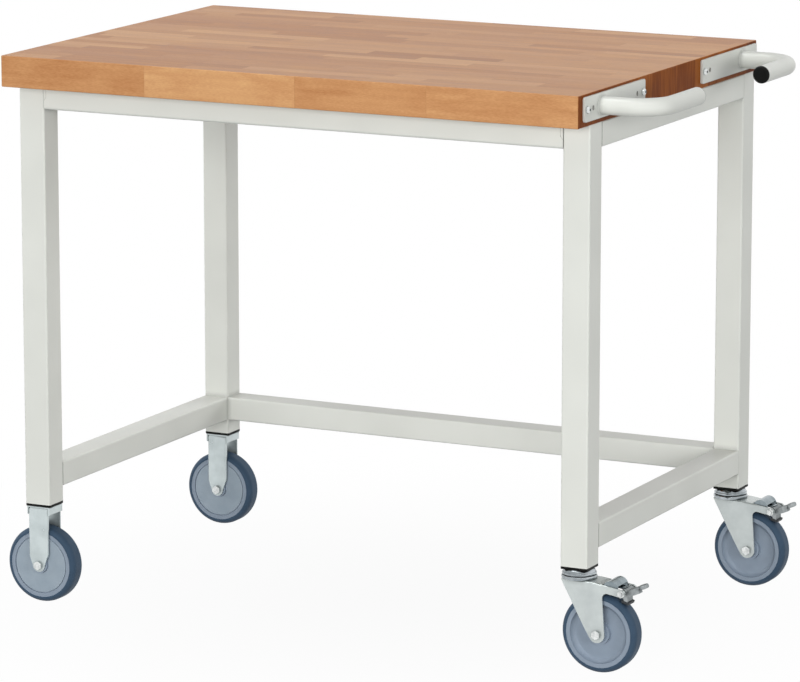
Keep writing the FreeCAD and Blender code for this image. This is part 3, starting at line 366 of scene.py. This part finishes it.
# Pressed, cut and moulded pieces get the small edge rounding of the real ones, by the ending of their name
softEdges = {
    "widths": {
        "fork": 0.45, "brake_hood": 0.4, "brake_pedal": 0.6, "handle_plate": 0.5,
        "axle": 0.7, "axles": 0.7, "brake_pin": 0.4, "covers": 0.3,
    },
    "angle": math.radians(32), "segments": 2, "joinWithin": 0.002, "flatWithin": math.radians(0.5),
}


def softenedCopy(nodeName, width):
    shape = bmesh.new()
    shape.from_mesh(frame["nodes"][nodeName].data)
    bmesh.ops.remove_doubles(shape, verts=shape.verts, dist=softEdges["joinWithin"] * mm)
    bmesh.ops.dissolve_limit(shape, angle_limit=softEdges["flatWithin"],
                             verts=shape.verts, edges=shape.edges)
    mesh = bpy.data.meshes.new(nodeName + "_finished")
    shape.to_mesh(mesh)
    shape.free()
    mesh.materials.append(frame["nodes"][nodeName].data.materials[0])
    mesh.shade_smooth()
    mesh.set_sharp_from_angle(angle=softEdges["angle"])
    piece = bpy.data.objects.new(nodeName + "_finished", mesh)
    bpy.context.scene.collection.objects.link(piece)
    bevel = piece.modifiers.new("edge", "BEVEL")
    bevel.width = width * mm
    bevel.segments = softEdges["segments"]
    bevel.limit_method = "ANGLE"
    bevel.angle_limit = softEdges["angle"]
    bevel.harden_normals = True
    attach(piece, nodeBodies[nodeName])
    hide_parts(nodeName)


for nodeName in sorted(frame["nodes"]):
    for ending, width in softEdges["widths"].items():
        if nodeName.endswith("_" + ending):
            softenedCopy(nodeName, width)
print("edges softened")


# Weld beads where the rails meet the legs and where the handles stand on their plates
weld = {
    "radius": 1.4, "pitch": 1.2, "least": 0.86, "most": 1.0, "endMargin": 4.0,
    "circleSteps": 48, "subdivisions": 2, "seed": 7,
}


def weldTree():
    tree = bpy.data.node_groups.new("weldBeads", "GeometryNodeTree")
    tree.interface.new_socket("Geometry", in_out="INPUT", socket_type="NodeSocketGeometry")
    tree.interface.new_socket("Geometry", in_out="OUTPUT", socket_type="NodeSocketGeometry")
    for name in ("Bead Radius", "Bead Pitch", "Least Size", "Most Size"):
        tree.interface.new_socket(name, in_out="INPUT", socket_type="NodeSocketFloat")
    tree.interface.new_socket("Finish", in_out="INPUT", socket_type="NodeSocketMaterial")
    given = addNode(tree, "NodeGroupInput").outputs
    path = addNode(tree, "GeometryNodeMeshToCurve", None, {"Mesh": given["Geometry"]})
    spaced = addNode(tree, "GeometryNodeResampleCurve", {"mode": "LENGTH"},
                     {"Curve": path.outputs[0], "Length": given["Bead Pitch"]})
    bead = addNode(tree, "GeometryNodeMeshIcoSphere", None,
                   {"Radius": given["Bead Radius"], "Subdivisions": weld["subdivisions"]})
    # a random value of this kind is drawn between sockets 2 and 3, and comes from output 1
    size = addNode(tree, "FunctionNodeRandomValue", {"data_type": "FLOAT"},
                   {2: given["Least Size"], 3: given["Most Size"], "Seed": weld["seed"]})
    beads = addNode(tree, "GeometryNodeInstanceOnPoints", None,
                    {"Points": spaced.outputs[0], "Instance": bead.outputs[0], "Scale": size.outputs[1]})
    real = addNode(tree, "GeometryNodeRealizeInstances", None, {0: beads.outputs[0]})
    smooth = addNode(tree, "GeometryNodeSetShadeSmooth", None, {0: real.outputs[0]})
    coated = addNode(tree, "GeometryNodeSetMaterial", None,
                     {0: smooth.outputs[0], "Material": given["Finish"]})
    addNode(tree, "NodeGroupOutput", None, {0: coated.outputs[0]})
    return tree


def nodeBox(nodeName):
    corners = [vertex.co for vertex in frame["nodes"][nodeName].data.vertices]
    return [[edge(corner[axis] for corner in corners) for axis in range(3)] for edge in (min, max)]


# Straight seams above and below the ends of the rails, and a ring at each handle's root
# (below only on the upper rails, because the worktop lies on them)
def weldSeams():
    seams = []
    margin = weld["endMargin"] * mm
    for side in ("left", "right"):
        for level in ("upper", "lower"):
            low, high = nodeBox(side + "_" + level + "_rail")
            heights = (low[2],) if level == "upper" else (low[2], high[2])
            seams += [[(low[0] + margin, y, z), (high[0] - margin, y, z)]
                      for y in (low[1], high[1]) for z in heights]
    low, high = nodeBox("rear_lower_rail")
    seams += [[(x, low[1] + margin, z), (x, high[1] - margin, z)]
              for x in (low[0], high[0]) for z in (low[2], high[2])]
    turns = [math.tau * step / weld["circleSteps"] for step in range(weld["circleSteps"] + 1)]
    for nodeName, rootSide, inward in (("front_handle_tube", 0, 1), ("rear_handle_tube", 1, -1)):
        box = nodeBox(nodeName)
        radius = (box[1][2] - box[0][2]) / 2
        middle = (box[rootSide][1] + inward * radius, box[0][2] + radius)
        seams.append([(box[0][0], middle[0] + radius * math.cos(turn), middle[1] + radius * math.sin(turn))
                      for turn in turns])
    return seams


def weldBeads():
    points = []
    edges = []
    for seam in weldSeams():
        edges += [(len(points) + step, len(points) + step + 1) for step in range(len(seam) - 1)]
        points += seam
    guide = bpy.data.meshes.new("weldGuide")
    guide.from_pydata(points, edges, [])
    piece = bpy.data.objects.new("weld_beads", guide)
    bpy.context.scene.collection.objects.link(piece)
    tree = weldTree()
    maker = piece.modifiers.new("beads", "NODES")
    maker.node_group = tree
    given = {"Bead Radius": weld["radius"] * mm, "Bead Pitch": weld["pitch"] * mm,
             "Least Size": weld["least"], "Most Size": weld["most"], "Finish": slotLooks["powder_coat"]}
    for socket in tree.interface.items_tree:
        if socket.name in given:
            maker[socket.identifier] = given[socket.name]
    made = piece.evaluated_get(bpy.context.evaluated_depsgraph_get())
    piece.data = bpy.data.meshes.new_from_object(made)
    piece.modifiers.clear()
    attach(piece, nodeBodies["worktop"])


weldBeads()
print("welds laid")


# White surroundings with lamps all round, sizes in metres
studio = {
    "white": "#FFFFFF", "skyStrength": 0.1, "aim": (0.0, 0.0, 0.5),
    "floorWidth": 60.0, "floorGrey": "#6E6E6C", "floorRoughness": 0.9,
    "shadowShare": 0.05, "shadowReach": 1.1,
    "lamps": (
        # place, width, height, power in watts, whether it shows in reflections
        ((1.6, -10.0, 2.0), 9.0, 3.6, 800.0, False),  # broad and low in front
        ((-5.8, -1.1, 1.8), 3.0, 3.0, 125.0, False),  # low on the left
        ((-1.8, -0.6, 6.0), 2.2, 2.2, 100.0, True),  # overhead
        ((7.0, -3.4, 1.9), 3.2, 2.8, 212.0, False),  # low on the right
        ((1.6, -2.6, 4.6), 4.0, 0.3, 14.0, True),  # strip for bright edges
        ((1.8, 6.2, 2.2), 3.0, 2.6, 290.0, False),  # low behind
    ),
}


# 1 where the eye meets it straight, mirrored or through a clear piece, 0 where it only gives light
def lookedAt(tree):
    path = addNode(tree, "ShaderNodeLightPath")
    seen = path.outputs["Is Camera Ray"]
    for ray in ("Is Glossy Ray", "Is Transmission Ray"):
        either = addNode(tree, "ShaderNodeMath", {"operation": "MAXIMUM"}, {0: seen, 1: path.outputs[ray]})
        seen = either.outputs[0]
    return seen


# Pale matt floor: white to the eye, with a faint shadow that fades away from the bench
def paleFloor():
    material, tree, shader = newMaterial("paleFloor")
    shader.inputs["Base Color"].default_value = hexToLinear(studio["floorGrey"])
    shader.inputs["Roughness"].default_value = studio["floorRoughness"]
    shader.inputs["Specular IOR Level"].default_value = 0.0
    place = addNode(tree, "ShaderNodeTexCoord")
    reach = addNode(tree, "ShaderNodeVectorMath", {"operation": "LENGTH"}, {0: place.outputs["Object"]})
    plain = addNode(tree, "ShaderNodeMapRange", {"interpolation_type": "SMOOTHSTEP"},
                    {"Value": reach.outputs["Value"], "From Min": 0.0, "From Max": studio["shadowReach"],
                     "To Min": 1 - studio["shadowShare"], "To Max": 1.0})
    share = addNode(tree, "ShaderNodeMath", {"operation": "MULTIPLY"},
                    {0: lookedAt(tree), 1: plain.outputs[0]})
    white = addNode(tree, "ShaderNodeEmission", None,
                    {"Color": hexToLinear(studio["white"]), "Strength": 1.0})
    both = addNode(tree, "ShaderNodeMixShader", None,
                   {0: share.outputs[0], 1: shader.outputs[0], 2: white.outputs[0]})
    tree.links.new(both.outputs[0], tree.nodes["Material Output"].inputs["Surface"])
    return material


def studioFloor():
    half = studio["floorWidth"] / 2
    corners = [(-half, -half, 0), (half, -half, 0), (half, half, 0), (-half, half, 0)]
    mesh = bpy.data.meshes.new("floor")
    mesh.from_pydata(corners, [], [(0, 1, 2, 3)])
    mesh.materials.append(paleFloor())
    floor = bpy.data.objects.new("floor", mesh)
    bpy.context.scene.collection.objects.link(floor)


def studioSky():
    world = bpy.data.worlds.new("studio")
    world.use_nodes = True
    bpy.context.scene.world = world
    tree = world.node_tree
    back = tree.nodes["Background"]
    back.inputs["Color"].default_value = hexToLinear(studio["white"])
    level = addNode(tree, "ShaderNodeMapRange", None,
                    {"Value": lookedAt(tree), "To Min": studio["skyStrength"], "To Max": 1.0})
    tree.links.new(level.outputs[0], back.inputs["Strength"])


def studioLamps():
    for number, (place, width, height, power, mirrored) in enumerate(studio["lamps"]):
        lamp = bpy.data.lights.new("softbox" + str(number), "AREA")
        lamp.shape = "RECTANGLE"
        lamp.size = width
        lamp.size_y = height
        lamp.energy = power
        holder = bpy.data.objects.new("softbox" + str(number), lamp)
        holder.visible_glossy = mirrored
        holder.location = place
        towards = Vector(studio["aim"]) - Vector(place)
        holder.rotation_euler = towards.to_track_quat("-Z", "Y").to_euler()
        bpy.context.scene.collection.objects.link(holder)


studioFloor()
studioSky()
studioLamps()
print("studio ready")


# Camera fitted to the corners of worktop, legs and wheels, then eased to hold the whole bench
view = {
    "place": (3.350, -6.770, 1.935), "yaw": 26.386, "pitch": 11.31, "farthest": 100.0,
    "focalPixels": 4770.0, "imageWidth": 800.0, "sensor": 36.0,
}


def photoCamera():
    camera = bpy.data.cameras.new("photoView")
    camera.sensor_width = view["sensor"]
    camera.lens = view["focalPixels"] / view["imageWidth"] * view["sensor"]
    camera.clip_end = view["farthest"]
    holder = bpy.data.objects.new("photoView", camera)
    holder.location = view["place"]
    holder.rotation_euler = (math.radians(90 - view["pitch"]), 0.0, math.radians(view["yaw"]))
    bpy.context.scene.collection.objects.link(holder)
    bpy.context.scene.camera = holder


photoCamera()
bpy.context.scene.view_settings.view_transform = "Standard"
